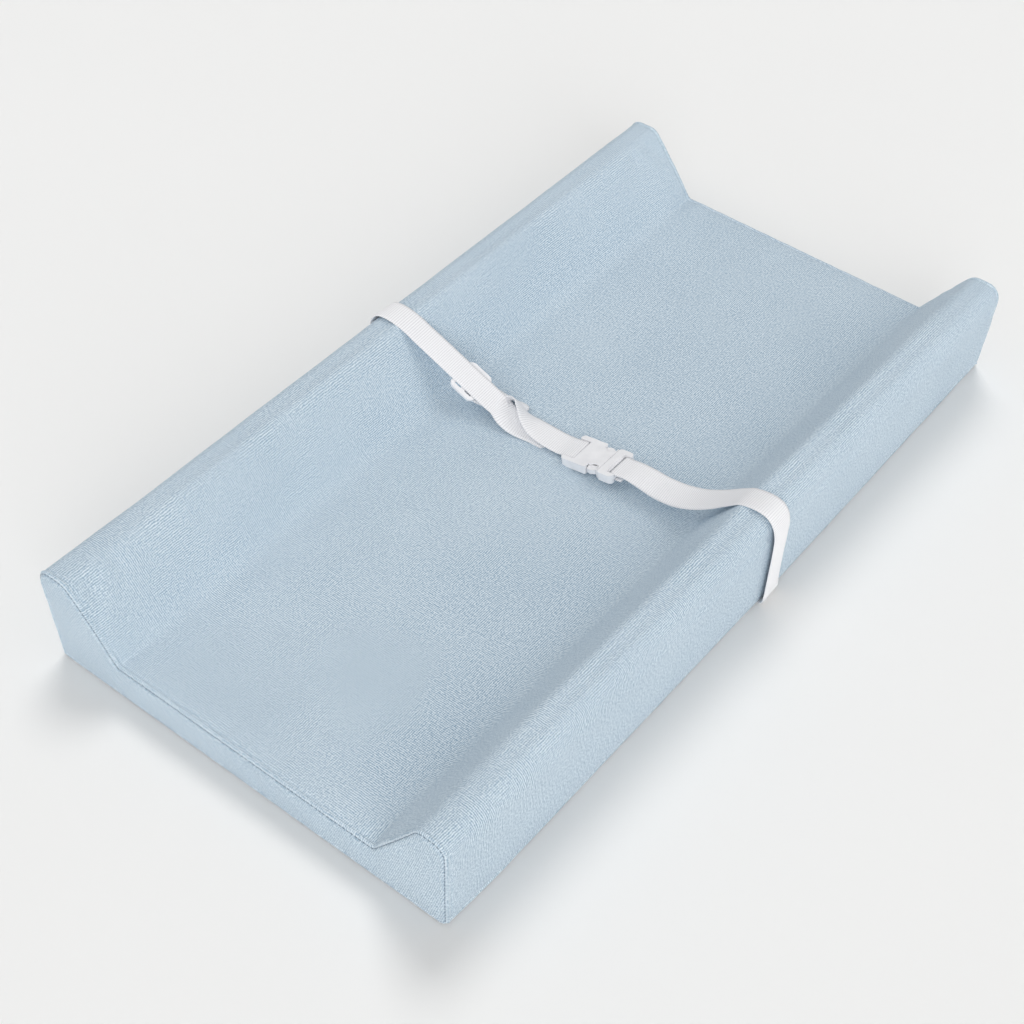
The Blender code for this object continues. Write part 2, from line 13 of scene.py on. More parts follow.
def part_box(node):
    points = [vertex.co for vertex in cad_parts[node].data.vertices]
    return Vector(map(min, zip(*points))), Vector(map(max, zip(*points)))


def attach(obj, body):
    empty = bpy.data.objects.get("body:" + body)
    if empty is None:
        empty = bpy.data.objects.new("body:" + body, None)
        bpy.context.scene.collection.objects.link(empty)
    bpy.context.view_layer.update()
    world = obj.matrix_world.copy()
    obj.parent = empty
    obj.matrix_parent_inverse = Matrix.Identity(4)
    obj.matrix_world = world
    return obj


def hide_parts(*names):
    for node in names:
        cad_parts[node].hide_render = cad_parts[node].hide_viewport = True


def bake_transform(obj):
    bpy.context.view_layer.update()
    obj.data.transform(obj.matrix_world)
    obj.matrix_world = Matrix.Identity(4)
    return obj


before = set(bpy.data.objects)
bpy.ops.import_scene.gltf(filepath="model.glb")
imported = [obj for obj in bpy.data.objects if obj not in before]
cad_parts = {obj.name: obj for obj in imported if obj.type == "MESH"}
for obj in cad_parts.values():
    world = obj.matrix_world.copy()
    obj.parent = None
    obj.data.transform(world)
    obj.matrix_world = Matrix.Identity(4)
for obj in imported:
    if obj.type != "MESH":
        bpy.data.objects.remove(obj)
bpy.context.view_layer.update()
MM = 0.001

# ---- sizes, read from the frame where it has them ------------------------------------------------
BASE_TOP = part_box("cover_bottom_panel")[1]
HALF_LENGTH = BASE_TOP.y
BASE_HALF_WIDTH = BASE_TOP.x
HEM_HEIGHT = BASE_TOP.z + 0.3 * MM
CROWN_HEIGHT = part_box("cover_main_panel")[1].z
WALL_LEAN = 3.5 * MM            # how far the crown's outer corner stands past the foot
MIDDLE_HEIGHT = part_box("foam_base_slab")[1].z + 1.5 * MM
CROWN_INNER_HALF_WIDTH = 0.179
VALLEY_HALF_WIDTH = 0.1344
CROWN_ROUND, CROWN_INNER_ROUND = 13 * MM, 11 * MM
END_VALLEY_ROUND, VALLEY_ROUND = 5 * MM, 24 * MM     # of the valley's edge, at the ends and between them

WALL_ZONE = (150 * MM, 50 * MM)     # where the walls' shift starts, from the middle, and how far it grows
BACK_STATIONS = (0, 0.12, 0.5, 1)   # shares of the way back, for the two crowns' shifts
LEFT_CROWN_OUT = (8.0 * MM, 6.0 * MM, 4.5 * MM, 2.0 * MM)
RIGHT_CROWN_OUT = (-1.5 * MM, 0.5 * MM, 2.0 * MM, 4.0 * MM)
FOOT_STATIONS = (0, 0.06, 0.55, 1)
RIGHT_FOOT_OUT = (1.5 * MM, 4.0 * MM, 4.5 * MM, 1.0 * MM)
FAR_END_ASKEW = 2.5 * MM            # how far the far end's valley edges sit to the right

SEAM_ROLL = 1.4 * MM            # radius of the fabric's turn into a seam
STITCH_PITCH = 4.0 * MM
STITCH_LENGTH = 2.3 * MM
STITCH_LIFT, STITCH_DIP = 0.1 * MM, 0.45 * MM       # its middle over the line, and its ends below its middle
THREAD_RADIUS, UNDERSIDE_THREAD_RADIUS = 0.24 * MM, 0.2 * MM
DOT_HEIGHT = 0.6 * MM           # how far the grip dots lift the backing cloth
DOT_PITCH = 16 * MM
DOT_RINGS = ((2.1, 0.75), (2.0, 0.35), (1.5, 0.1), (0.8, 0.0))      # radius and height of each ring, in mm
SWELL_CAP = 2.2 * MM            # the furthest that the cloth simulation moves the cover off its foam
SETTLE_FRAMES = 20
RIB_LEAN = (math.radians(32), math.radians(18))     # of the end panels' weave, at the left and right

BELT_WIDTH = 25.4 * MM
BELT_THICKNESS = 1.3 * MM
BELT_Y = 0.0255
BELT_LEFT_SLANT = 0.061
RIB_PITCH = 2.0 * MM
BUCKLE_ORIGIN = Vector((0.01075, BELT_Y, 0.04227))
BUCKLE_PITCH = math.radians(10.5)
BAR_TO_BELT = 2.55 * MM         # from the middle of a buckle's bar to the middle of the belt on it
ANCHOR_INNER, ANCHOR_OUTER = 0.1535, 0.1745         # the stitched boxes at the belt's sewn ends, along X
ANCHOR_HALF_WIDTH = 9.5 * MM
TOOTH_PITCH, TOOTH_LENGTH, TOOTH_RADIUS = 2.0 * MM, 2.4 * MM, 0.5 * MM


# ---- numbers -------------------------------------------------------------------------------------
def unit(vector):
    return vector / np.linalg.norm(vector)


def smoothstep(value):
    value = np.clip(value, 0, 1)
    return value * value * (3 - 2 * value)


def spline_weights(count, places):
    """Weights that read a smooth curve through `count` even points, at places from 0 to 1."""
    position = np.clip(places, 0, 1) * (count - 1)
    cell = np.minimum(position.astype(int), count - 2)
    f = position - cell
    terms = (-0.5 * f + f ** 2 - 0.5 * f ** 3, 1 - 2.5 * f ** 2 + 1.5 * f ** 3,
             0.5 * f + 2 * f ** 2 - 1.5 * f ** 3, -0.5 * f ** 2 + 0.5 * f ** 3)
    weights = np.zeros((len(places), count))
    for shift, term in zip((-1, 0, 1, 2), terms):
        column = np.clip(cell + shift, 0, count - 1)
        np.add.at(weights, (np.arange(len(places)), column), term)
    return weights


def wander(places, wavelength, seed):
    """Smooth random values from about -1 to 1, at places in metres along a line."""
    low = places.min()
    span = max(places.max() - low, wavelength)
    count = int(span / wavelength) + 3
    knots = np.random.default_rng(seed).uniform(-1, 1, count)
    return (spline_weights(count, (places.ravel() - low) / span) @ knots).reshape(places.shape)


def wander_2d(rows, columns, shape, seed):
    """A smooth random field of rows x columns places from 0 to 1, with shape = how many knots each way."""
    knots = np.random.default_rng(seed).uniform(-1, 1, shape)
    return spline_weights(shape[0], rows) @ knots @ spline_weights(shape[1], columns).T


def rounded(corners, steps=12):
    """Points of an open path through (x, z, radius) corners, with each corner rounded by an arc."""
    points = [np.array(corners[0][:2])]
    for before, corner, after in zip(corners, corners[1:], corners[2:]):
        tip = np.array(corner[:2])
        radius = corner[2]
        back = unit(np.array(before[:2]) - tip)
        ahead = unit(np.array(after[:2]) - tip)
        half_angle = math.acos(np.clip(back @ ahead, -1, 1)) / 2
        centre = tip + unit(back + ahead) * radius / math.sin(half_angle)
        start = tip + back * radius / math.tan(half_angle) - centre
        end = tip + ahead * radius / math.tan(half_angle) - centre
        turn = math.atan2(start[0] * end[1] - start[1] * end[0], start @ end)
        for step in range(steps + 1):
            angle = turn * step / steps
            c, s = math.cos(angle), math.sin(angle)
            points.append(centre + np.array((c * start[0] - s * start[1], s * start[0] + c * start[1])))
    points.append(np.array(corners[-1][:2]))
    return np.array(points)


def along(path):
    """How far along a path each of its points is."""
    return np.concatenate([[0], np.cumsum(np.linalg.norm(np.diff(path, axis=0), axis=1))])


def read_path(path, places):
    """Points of a path at places from 0 to 1 of its length."""
    length = along(path)
    return np.stack([np.interp(places * length[-1], length, path[:, axis])
                     for axis in range(path.shape[1])], axis=1)


def path_normals(path):
    """The side of a path in X and Z that faces out of the pad."""
    run = np.gradient(path, axis=0)
    run /= np.linalg.norm(run, axis=1, keepdims=True)
    return np.stack([-run[:, 1], run[:, 0]], axis=1)


def smooth_path(points, steps=40):
    """A Catmull-Rom curve through points of any number of values."""
    points = np.array(points, float)
    gaps = np.linalg.norm(np.diff(points[:, :3], axis=0), axis=1) ** 0.5
    knots = np.concatenate([[0], np.cumsum(gaps)])
    slopes = np.gradient(points, knots, axis=0)
    path = []
    for i in range(len(points) - 1):
        h = knots[i + 1] - knots[i]
        for f in np.arange(steps) / steps:
            path.append((1 + 2 * f) * (1 - f) ** 2 * points[i] + f * (1 - f) ** 2 * h * slopes[i]
                        + f * f * (3 - 2 * f) * points[i + 1] + f * f * (f - 1) * h * slopes[i + 1])
    return np.array(path + [points[-1]])


def graded(length, near, step):
    """Places along a length: the `near` distances from each end, and even steps between them."""
    near = np.array(near)
    count = max(int(round((length - 2 * near[-1]) / step)), 2)
    middle = np.linspace(near[-1], length - near[-1], count + 1)[1:-1]
    return np.concatenate([near, middle, length - near[::-1]])


# ---- meshes --------------------------------------------------------------------------------------
def made_object(name, verts, faces):
    mesh = bpy.data.meshes.new(name)
    faces = faces.tolist() if isinstance(faces, np.ndarray) else faces
    mesh.from_pydata(np.asarray(verts).tolist(), [], faces)
    mesh.update()
    mesh.shade_smooth()
    made = bpy.data.objects.new(name, mesh)
    bpy.context.scene.collection.objects.link(made)
    return made


def grid_quads(rows, columns, wrap=False):
    index = np.arange(rows * columns).reshape(rows, columns)
    if wrap:
        index = np.concatenate([index, index[:, :1]], axis=1)
    return np.stack([index[:-1, :-1], index[1:, :-1], index[1:, 1:], index[:-1, 1:]], axis=-1).reshape(-1, 4)


def grid_object(name, points, uv=None):
    rows, columns = points.shape[:2]
    quads = grid_quads(rows, columns)
    made = made_object(name, points.reshape(-1, 3), quads)
    if uv is not None:
        layer = made.data.uv_layers.new(name="weave")
        layer.data.foreach_set("uv", uv.reshape(-1, 2)[quads.ravel()].astype(np.float32).ravel())
    return made


def grid_normals(points):
    run = np.gradient(points, axis=0)
    side = np.gradient(points, axis=1)
    normals = np.cross(run, side)
    return normals / np.maximum(np.linalg.norm(normals, axis=2, keepdims=True), 1e-12)


def finished(made, finish, body):
    """Gives a piece its material and the body it rides on, if that is one body alone."""
    made.data.materials.clear()
    made.data.materials.append(finish)
    if body:
        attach(made, body)
    return made


def swollen(points):
    """How far each point of a sheet moves when it is sewn down round its border and pushed from inside."""
    rows, columns = points.shape[:2]
    sheet = grid_object("swelling", points)
    index = np.arange(rows * columns).reshape(rows, columns)
    border = np.unique(np.concatenate([index[0], index[-1], index[:, 0], index[:, -1]]))
    group = sheet.vertex_groups.new(name="sewn")
    group.add(border.tolist(), 1.0, "REPLACE")
    cloth = sheet.modifiers.new("cloth", "CLOTH")
    settings = cloth.settings
    settings.quality = 6
    settings.mass = 0.02
    settings.tension_stiffness = 25
    settings.compression_stiffness = 25
    settings.shear_stiffness = 10
    settings.bending_stiffness = 2
    settings.use_pressure = True
    settings.uniform_pressure_force = 4
    settings.vertex_group_mass = "sewn"
    settings.shrink_min = -0.004
    settings.effector_weights.gravity = 0
    cloth.collision_settings.use_collision = False
    cloth.collision_settings.use_self_collision = False
    for step in range(1, SETTLE_FRAMES + 1):
        bpy.context.scene.frame_set(step)
    evaluated = sheet.evaluated_get(bpy.context.evaluated_depsgraph_get())
    settled = np.zeros(rows * columns * 3, np.float32)
    evaluated.data.vertices.foreach_get("co", settled)
    moved = settled.reshape(points.shape) - points
    bpy.context.scene.frame_set(1)
    bpy.data.objects.remove(sheet, do_unlink=True)
    out = np.maximum((moved * grid_normals(points)).sum(axis=2), 0)
    capped = SWELL_CAP * np.tanh(out / SWELL_CAP)
    return capped[..., None] * grid_normals(points)


# ---- materials -----------------------------------------------------------------------------------
def srgb(red, green, blue):
    """A colour given as 0 to 255 sRGB, as the linear values that a shader takes."""
    values = []
    for value in (red, green, blue):
        value /= 255
        values.append(value / 12.92 if value <= 0.04045 else ((value + 0.055) / 1.055) ** 2.4)
    return (*values, 1.0)


class Finish:
    """A procedural material: its tree, its shader and short calls to add nodes."""

    def __init__(self, name, roughness, **shader_values):
        self.material = bpy.data.materials.new(name)
        self.material.use_nodes = True
        self.tree = self.material.node_tree
        self.shader = self.tree.nodes["Principled BSDF"]
        self.shader.inputs["Roughness"].default_value = roughness
        for key, value in shader_values.items():
            self.shader.inputs[key.replace("_", " ")].default_value = value

    def node(self, kind, inputs=(), **settings):
        made = self.tree.nodes.new(kind)
        for key, value in settings.items():
            setattr(made, key, value)
        for key, value in dict(inputs).items():
            if isinstance(value, bpy.types.NodeSocket):
                self.tree.links.new(value, made.inputs[key])
            else:
                made.inputs[key].default_value = value
        return made

    def math(self, operation, a, b=0.0, c=0.0):
        return self.node("ShaderNodeMath", {0: a, 1: b, 2: c}, operation=operation).outputs[0]

    def noise(self, vector, scale, detail=2.0, roughness=0.5):
        return self.node("ShaderNodeTexNoise", {"Vector": vector, "Scale": scale, "Detail": detail,
                                                "Roughness": roughness}).outputs["Fac"]

    def ramp(self, value, stops):
        made = self.node("ShaderNodeValToRGB", {"Fac": value})
        ramp = made.color_ramp
        while len(ramp.elements) < len(stops):
            ramp.elements.new(0.5)
        for element, (place, tint) in zip(ramp.elements, stops):
            element.position = place
            element.color = tint
        return made.outputs["Color"]

    def uv(self):
        return self.node("ShaderNodeUVMap", uv_map="weave").outputs["UV"]

    def place(self):
        return self.node("ShaderNodeTexCoord").outputs["Object"]

    def split(self, vector):
        return self.node("ShaderNodeSeparateXYZ", {"Vector": vector}).outputs

    def bump(self, height, distance, strength):
        inputs = {"Height": height, "Distance": distance, "Strength": strength}
        return self.node("ShaderNodeBump", inputs).outputs["Normal"]

    def connect(self, **sockets):
        for key, socket in sockets.items():
            self.tree.links.new(socket, self.shader.inputs[key.replace("_", " ")])
        return self.material


def ribs(finish, place, pitch, sway):
    """A wave with its crests a pitch apart, bent by sway in radians."""
    return finish.math("SINE", finish.math("MULTIPLY_ADD", place, math.tau / pitch, sway))


def fabric(name, dark, light, warp_pitch, weft_pitch, warp_share, sway_angle=7.0, relief=0.30):
    """A fine woven fabric: warp and weft ribs that come and go in patches, with soft mottling.

    warp_share is the warp's mean part of the weave, sway_angle how far the ribs bend, in radians, and
    relief how much of the tone and of the bump the weave takes. The weave's tone is painted shade: the colour
    is darker in the ribs' grooves, and the mottling adds random tone.
    """
    finish = Finish(name, 0.82, Sheen_Weight=0.08, Sheen_Roughness=0.45)
    uv = finish.uv()
    u, v = finish.split(uv)[:2]
    sway = finish.math("MULTIPLY", finish.noise(uv, 190, 3), sway_angle)
    warp = ribs(finish, u, warp_pitch, sway)
    weft = ribs(finish, v, weft_pitch, sway)
    patch = finish.node("ShaderNodeMapRange", {"Value": finish.noise(uv, 22, 2), "From Min": 0.38,
                                               "From Max": 0.62}).outputs[0]
    swing = 0.6 * (1 - abs(2 * warp_share - 1))     # how far the share goes from patch to patch
    share = finish.math("MULTIPLY_ADD", patch, swing, warp_share - swing / 2)
    weave = finish.math("ADD", finish.math("MULTIPLY", warp, share),
                        finish.math("MULTIPLY", weft, finish.math("SUBTRACT", 1.0, share)))
    grain = finish.noise(uv, 520, 2, 0.6)
    height = finish.math("MULTIPLY_ADD", weave, relief, finish.math("MULTIPLY_ADD", grain, 1.3, -0.15))
    mottle = finish.noise(uv, 9, 4, 0.6)
    # tone: the weave's height, which paints shade into its grooves, plus random mottling
    tone = finish.math("MULTIPLY_ADD", finish.math("SUBTRACT", mottle, 0.5), 0.16, height)
    colour = finish.ramp(tone, [(0.2, dark), (0.8, light)])
    return finish.connect(Base_Color=colour, Normal=finish.bump(height, 0.3 * MM, 0.7))


def webbing_finish():
    finish = Finish("webbing_white", 0.7, Sheen_Weight=0.2, Sheen_Roughness=0.4)
    uv = finish.uv()
    across, run = finish.split(uv)[:2]
    fine = ribs(finish, across, 0.9 * MM, finish.math("MULTIPLY", finish.noise(uv, 300, 2), 1.5))
    rib = ribs(finish, run, RIB_PITCH, 0.0)
    # The ribs' height also sets the colour below: painted shade, darker in the valleys between ribs and
    # threads.
    height = finish.math("MULTIPLY_ADD", fine, 0.10, finish.math("MULTIPLY_ADD", rib, 0.32, 0.42))
    grain = finish.math("MULTIPLY_ADD", finish.noise(uv, 1500, 2), 0.3, height)
    mottle = finish.math("MULTIPLY_ADD", finish.noise(uv, 30, 3), 0.2, grain)
    # grain and mottle here carry the ribs' painted valley shade as well as random grain and mottling
    colour = finish.ramp(mottle, [(0.15, srgb(208, 208, 212)), (0.7, srgb(246, 246, 248))])
    return finish.connect(Base_Color=colour, Normal=finish.bump(grain, 0.12 * MM, 0.6))


def moulded_plastic(name, colour, shade, roughness=0.36):
    finish = Finish(name, roughness)
    place = finish.place()
    grain = finish.noise(place, 2600, 2)
    cloud = finish.noise(place, 90, 3)
    tint = finish.ramp(cloud, [(0.25, shade), (0.75, colour)])
    rough = finish.math("MULTIPLY_ADD", cloud, 0.12, roughness - 0.06)
    return finish.connect(Base_Color=tint, Roughness=rough, Normal=finish.bump(grain, 0.03 * MM, 0.5))


def thread_finish():
    finish = Finish("thread_blue", 0.6, Sheen_Weight=0.3)
    place = finish.place()
    twist = finish.noise(place, 4000, 2)
    # Darker blue than the cover: partly the thread's own colour, partly painted shade of the stitch holes it
    # lies in.
    tint = finish.ramp(twist, [(0.3, srgb(66, 88, 112)), (0.7, srgb(108, 130, 152))])
    return finish.connect(Base_Color=tint, Normal=finish.bump(twist, 0.1 * MM, 0.6))


def foam_finish():
    finish = Finish("open_cell_foam", 0.95)
    place = finish.place()
    cells = finish.node("ShaderNodeTexVoronoi", {"Vector": place, "Scale": 700.0}).outputs["Distance"]
    pores = finish.math("MULTIPLY_ADD", finish.noise(place, 1800, 3), 0.5, cells)
    # Darker in the pores: painted shade in the foam's open cells, with random tone from the noise.
    tint = finish.ramp(pores, [(0.1, srgb(196, 186, 150)), (0.7, srgb(240, 234, 208))])
    return finish.connect(Base_Color=tint, Normal=finish.bump(pores, 0.4 * MM, 0.8))


def metal_finish():
    finish = Finish("zip_metal", 0.3, Metallic=1.0)
    place = finish.place()
    scratch = finish.noise(place, 900, 4, 0.7)
    tint = finish.ramp(scratch, [(0.3, srgb(150, 152, 156)), (0.7, srgb(196, 198, 202))])
    rough = finish.math("MULTIPLY_ADD", scratch, 0.3, 0.18)
    return finish.connect(Base_Color=tint, Roughness=rough, Normal=finish.bump(scratch, 0.02 * MM, 0.4))


def rubber_finish():
    finish = Finish("grip_rubber", 0.55)
    place = finish.place()
    cloud = finish.noise(place, 400, 3)
    tint = finish.ramp(cloud, [(0.3, srgb(206, 210, 214)), (0.7, srgb(226, 229, 232))])
    return finish.connect(Base_Color=tint, Normal=finish.bump(cloud, 0.05 * MM, 0.4))


# Each weave's dark colour shows in its grooves, as painted shade, and in the dark patches of its random
# mottling.
BLUE_DARK, BLUE_LIGHT = srgb(142, 167, 187), srgb(224, 236, 244)
COVER = fabric("cover_weave", BLUE_DARK, BLUE_LIGHT, 1.75 * MM, 1.75 * MM, 0.5, relief=0.34)
COVER_END = fabric("cover_weave_end", BLUE_DARK, BLUE_LIGHT, 1.7 * MM, 1.7 * MM, 0.7, 4.0, relief=0.21)
BASE_CLOTH = fabric("base_weave", srgb(186, 194, 202), srgb(232, 237, 241), 1.2 * MM, 1.2 * MM, 0.5)
TAPE_CLOTH = fabric("zip_tape_weave", srgb(128, 152, 174), srgb(180, 198, 212), 0.9 * MM, 0.7 * MM, 0.6)
WEBBING = webbing_finish()
BUCKLE_PLASTIC = moulded_plastic("buckle_plastic", srgb(246, 246, 248), srgb(234, 234, 237))
ZIP_NYLON = moulded_plastic("zip_nylon", srgb(150, 174, 195), srgb(128, 152, 175), 0.45)
THREAD = thread_finish()
FOAM = foam_finish()
METAL = metal_finish()
RUBBER = rubber_finish()


# ---- cover ---------------------------------------------------------------------------------------
def out_of_square(points):
    """Moves points as the filled cover pushes them: its walls lean and swell, and its far end sits askew."""
    x, y, z = points[..., 0], points[..., 1], points[..., 2]
    rise = np.clip(z / CROWN_HEIGHT, 0, 1)
    back = (y + HALF_LENGTH) / (2 * HALF_LENGTH)
    at_wall = smoothstep((np.abs(x) - WALL_ZONE[0]) / WALL_ZONE[1])
    left_crown = np.interp(back, BACK_STATIONS, LEFT_CROWN_OUT)
    right_crown = np.interp(back, BACK_STATIONS, RIGHT_CROWN_OUT)
    right_foot = np.interp(back, FOOT_STATIONS, RIGHT_FOOT_OUT)
    shift = np.where(x < 0, -left_crown * rise, right_crown * rise + right_foot * (1 - rise)) * at_wall
    at_far_end = smoothstep((back - 0.7) / 0.3)
    at_valley_edge = smoothstep((np.abs(x) - 110 * MM) / (30 * MM)) * (1 - at_wall)
    askew = FAR_END_ASKEW * at_far_end * at_valley_edge
    moved = points.copy()
    moved[..., 0] = x + shift + askew
    return moved


def skin(valley_radius, inset=0.0):
    """The pad's section from the foot of the left wall over the top to the right foot."""
    half = [(BASE_HALF_WIDTH, HEM_HEIGHT, 0),
            (BASE_HALF_WIDTH + WALL_LEAN, CROWN_HEIGHT, CROWN_ROUND),
            (CROWN_INNER_HALF_WIDTH, CROWN_HEIGHT, CROWN_INNER_ROUND),
            (VALLEY_HALF_WIDTH, MIDDLE_HEIGHT, valley_radius)]
    path = rounded([(-x, z, r) for x, z, r in half] + half[::-1])
    even = read_path(path, np.linspace(0, 1, 1200))
    return even - path_normals(even) * inset


def seam_turn(depth_in):
    """Height of the fabric beside a seam, by the distance in from it.

    A folded lip rolls down into the seam, and a shallow groove runs on its inner side.
    """
    roll = -SEAM_ROLL + np.sqrt(np.maximum(SEAM_ROLL ** 2 - np.maximum(SEAM_ROLL - depth_in, 0) ** 2, 0))
    lip = 0.70 * MM * np.exp(-((depth_in - 1.9 * MM) / (1.1 * MM)) ** 2)
    groove = 0.30 * MM * np.exp(-((depth_in - 4.2 * MM) / (0.8 * MM)) ** 2)
    return roll + lip - groove


def puckers(run, depth_in, seed):
    """Small gathers between the stitches of a seam, which fade away from it."""
    strength = 0.65 + 0.5 * wander(run, 22 * MM, seed)
    small = 0.16 * MM * strength * np.cos(math.tau * run / STITCH_PITCH) * np.exp(-depth_in / (3.5 * MM))
    pulls = 0.30 * MM * wander(run, 9 * MM, seed + 1) * np.exp(-depth_in / (14 * MM))
    return (small + pulls) * (1 - np.exp(-depth_in / (0.8 * MM)))


NEAR_SEAM = np.array((0, 0.1, 0.25, 0.5, 0.8, 1.2, 1.7, 2.3, 3.0, 3.6, 4.2, 4.8, 5.6, 7.4, 9.6, 12.5, 16,
                      20)) * MM           # distances of the close rows of points beside a seam
TURNED_IN = np.array((3.5, 1.2)) * MM     # rows of the seam allowance, inside the seam


def cover_main():
    """The panel that goes over the pad from one foot to the other.

    Its points are shares t of the section's length by places y along the pad. The simulation runs on a
    coarse sheet, and its swell is read smoothly onto the fine one.
    """
    sharp, soft = skin(END_VALLEY_ROUND), skin(VALLEY_ROUND)
    seam_y = HALF_LENGTH - SEAM_ROLL

    coarse_t = np.linspace(0, 1, 85)
    coarse_v = np.linspace(0, 1, 99)

    def surface(t, y):
        blend = smoothstep((HALF_LENGTH - np.abs(y)) / (45 * MM))
        ends, middle = read_path(sharp, t), read_path(soft, t)
        section = ends[:, None] * (1 - blend)[None, :, None] + middle[:, None] * blend[None, :, None]
        return np.stack([section[..., 0], np.broadcast_to(y, section.shape[:2]), section[..., 1]], axis=-1)

    swell = swollen(surface(coarse_t, (2 * coarse_v - 1) * HALF_LENGTH))

    arc = along(sharp)[-1]
    run = graded(arc, NEAR_SEAM[:13], 1.4 * MM)
    t = run / arc
    inner = graded(2 * seam_y, NEAR_SEAM, 6 * MM) - seam_y
    y = np.concatenate([np.repeat(-seam_y, len(TURNED_IN)), inner, np.repeat(seam_y, len(TURNED_IN))])
    turned = np.concatenate([TURNED_IN, np.zeros(len(inner)), TURNED_IN[::-1]])

    points = surface(t, y)
    normals = grid_normals(surface(t, np.linspace(-seam_y, seam_y, len(y))))
    v = (y / HALF_LENGTH + 1) / 2
    rows, columns = spline_weights(len(coarse_t), t), spline_weights(len(coarse_v), v)
    points = points + np.einsum("ri,ijk,cj->rck", rows, swell, columns)

    to_end = np.broadcast_to(seam_y - np.abs(y), points.shape[:2])
    to_foot = np.broadcast_to(np.minimum(run, arc - run)[:, None], points.shape[:2])
    run_grid = np.broadcast_to(run[:, None], points.shape[:2])
    foot_turn = np.where(to_foot < 12 * MM, seam_turn(to_foot), 0)
    height = np.maximum(seam_turn(to_end) + foot_turn, -1.8 * SEAM_ROLL)
    front = np.broadcast_to(y < 0, points.shape[:2])
    height = height + np.where(front, puckers(run_grid, to_end, 3), puckers(run_grid, to_end, 5))
    height = height + puckers(np.broadcast_to(y + 1, points.shape[:2]), to_foot, 7) * 0.6
    height = height + 0.18 * MM * wander_2d(t, v, (46, 40), 11) * smoothstep(to_end / (25 * MM))
    points = points + normals * (height - turned)[..., None]

    uv = np.stack([run_grid, np.broadcast_to(y, run_grid.shape)], axis=-1)
    made = grid_object("cover_main", out_of_square(points), uv)
    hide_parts("cover_main_panel")
    return finished(made, COVER, "pad")


def nearest_on(path, points):
    """Distance from each point to a path, and how far along the path the nearest place is."""
    length = along(path)
    starts, steps = path[:-1], np.diff(path, axis=0)
    square = np.maximum((steps ** 2).sum(axis=1), 1e-18)
    best = np.full(len(points), np.inf)
    place = np.zeros(len(points))
    for start in range(0, len(points), 2000):
        part = points[start:start + 2000]
        f = np.clip(((part[:, None] - starts) * steps).sum(axis=2) / square, 0, 1)
        gap = np.linalg.norm(part[:, None] - (starts + steps * f[..., None]), axis=2)
        chosen = gap.argmin(axis=1)
        each = np.arange(len(part))
        best[start:start + 2000] = gap[each, chosen]
        place[start:start + 2000] = length[chosen] + f[each, chosen] * (length[chosen + 1] - length[chosen])
    return best, place


def end_patch(outline, s, r):
    """Points that fill the end's outline: s across the pad, r from its foot to its top edge.

    The sides of the patch run up the walls to the crowns' outer corners.
    """
    crown = 0.5 * (BASE_HALF_WIDTH + CROWN_INNER_HALF_WIDTH)
    upper = outline[:, 1] > 0.6 * CROWN_HEIGHT
    corner = along(outline)[np.where(upper & (outline[:, 0] > -crown - 9 * MM))[0][0]] / along(outline)[-1]
    left = read_path(outline, corner * r)
    right = read_path(outline, 1 - corner * r)
    top = read_path(outline, corner + (1 - 2 * corner) * s)
    bottom = outline[0] + (outline[-1] - outline[0]) * s[:, None]
    s_grid, r_grid = s[:, None, None], r[None, :, None]
    sides = (1 - s_grid) * left[None] + s_grid * right[None]
    ends = (1 - r_grid) * bottom[:, None] + r_grid * top[:, None]
    corners = ((1 - s_grid) * ((1 - r_grid) * outline[0] + r_grid * top[0])
               + s_grid * ((1 - r_grid) * outline[-1] + r_grid * top[-1]))
    return sides + ends - corners


def cover_end(side, name, node, swell_source):
    """One end panel: side is -1 at the front and 1 at the back."""
    outline = skin(END_VALLEY_ROUND, SEAM_ROLL)
    near = NEAR_SEAM[:14]
    top_edge, tall = 0.46, 0.09     # about the lengths that its points are spaced over
    s = graded(top_edge, near, 1.5 * MM) / top_edge
    r = graded(tall, near * 0.7, 3.0 * MM) / tall
    flat = end_patch(outline, s, r)
    shape = flat.shape[:2]
    border = np.concatenate([outline, outline[:1]])
    to_seam, place = nearest_on(border, flat.reshape(-1, 2))
    to_seam, place = to_seam.reshape(shape), place.reshape(shape)
    coarse = swell_source.shape
    rows, columns = spline_weights(coarse[0], s), spline_weights(coarse[1], r)
    swell = rows @ swell_source @ columns.T
    out = seam_turn(to_seam) + puckers(place, to_seam, 21 + side) + swell * smoothstep(to_seam / (6 * MM))
    out = out + 0.2 * MM * wander_2d(s, r, (24, 7), 31 + side) * smoothstep(to_seam / (12 * MM))
    y = side * (HALF_LENGTH + out)
    points = np.stack([flat[..., 0], y, flat[..., 1]], axis=-1)
    points = points if side < 0 else points[:, ::-1]
    flat = flat if side < 0 else flat[:, ::-1]
    lean = np.interp(flat[..., 0], (-BASE_HALF_WIDTH, BASE_HALF_WIDTH), RIB_LEAN)
    uv = np.stack([flat[..., 0] - flat[..., 1] * np.tan(lean), flat[..., 1]], axis=-1)
    made = grid_object(name, out_of_square(points), uv)
    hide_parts(node)
    return finished(made, COVER_END, "pad")


def cover_ends():
    coarse_s, coarse_r = np.linspace(0, 1, 61), np.linspace(0, 1, 11)
    flat = end_patch(skin(END_VALLEY_ROUND, SEAM_ROLL), coarse_s, coarse_r)
    sheet = np.stack([flat[..., 0], np.full(flat.shape[:2], -HALF_LENGTH), flat[..., 1]], axis=-1)
    swell = -swollen(sheet)[..., 1]
    cover_end(-1, "cover_end_front", "cover_end_panel_front", swell)
    cover_end(1, "cover_end_back", "cover_end_panel_back", swell)


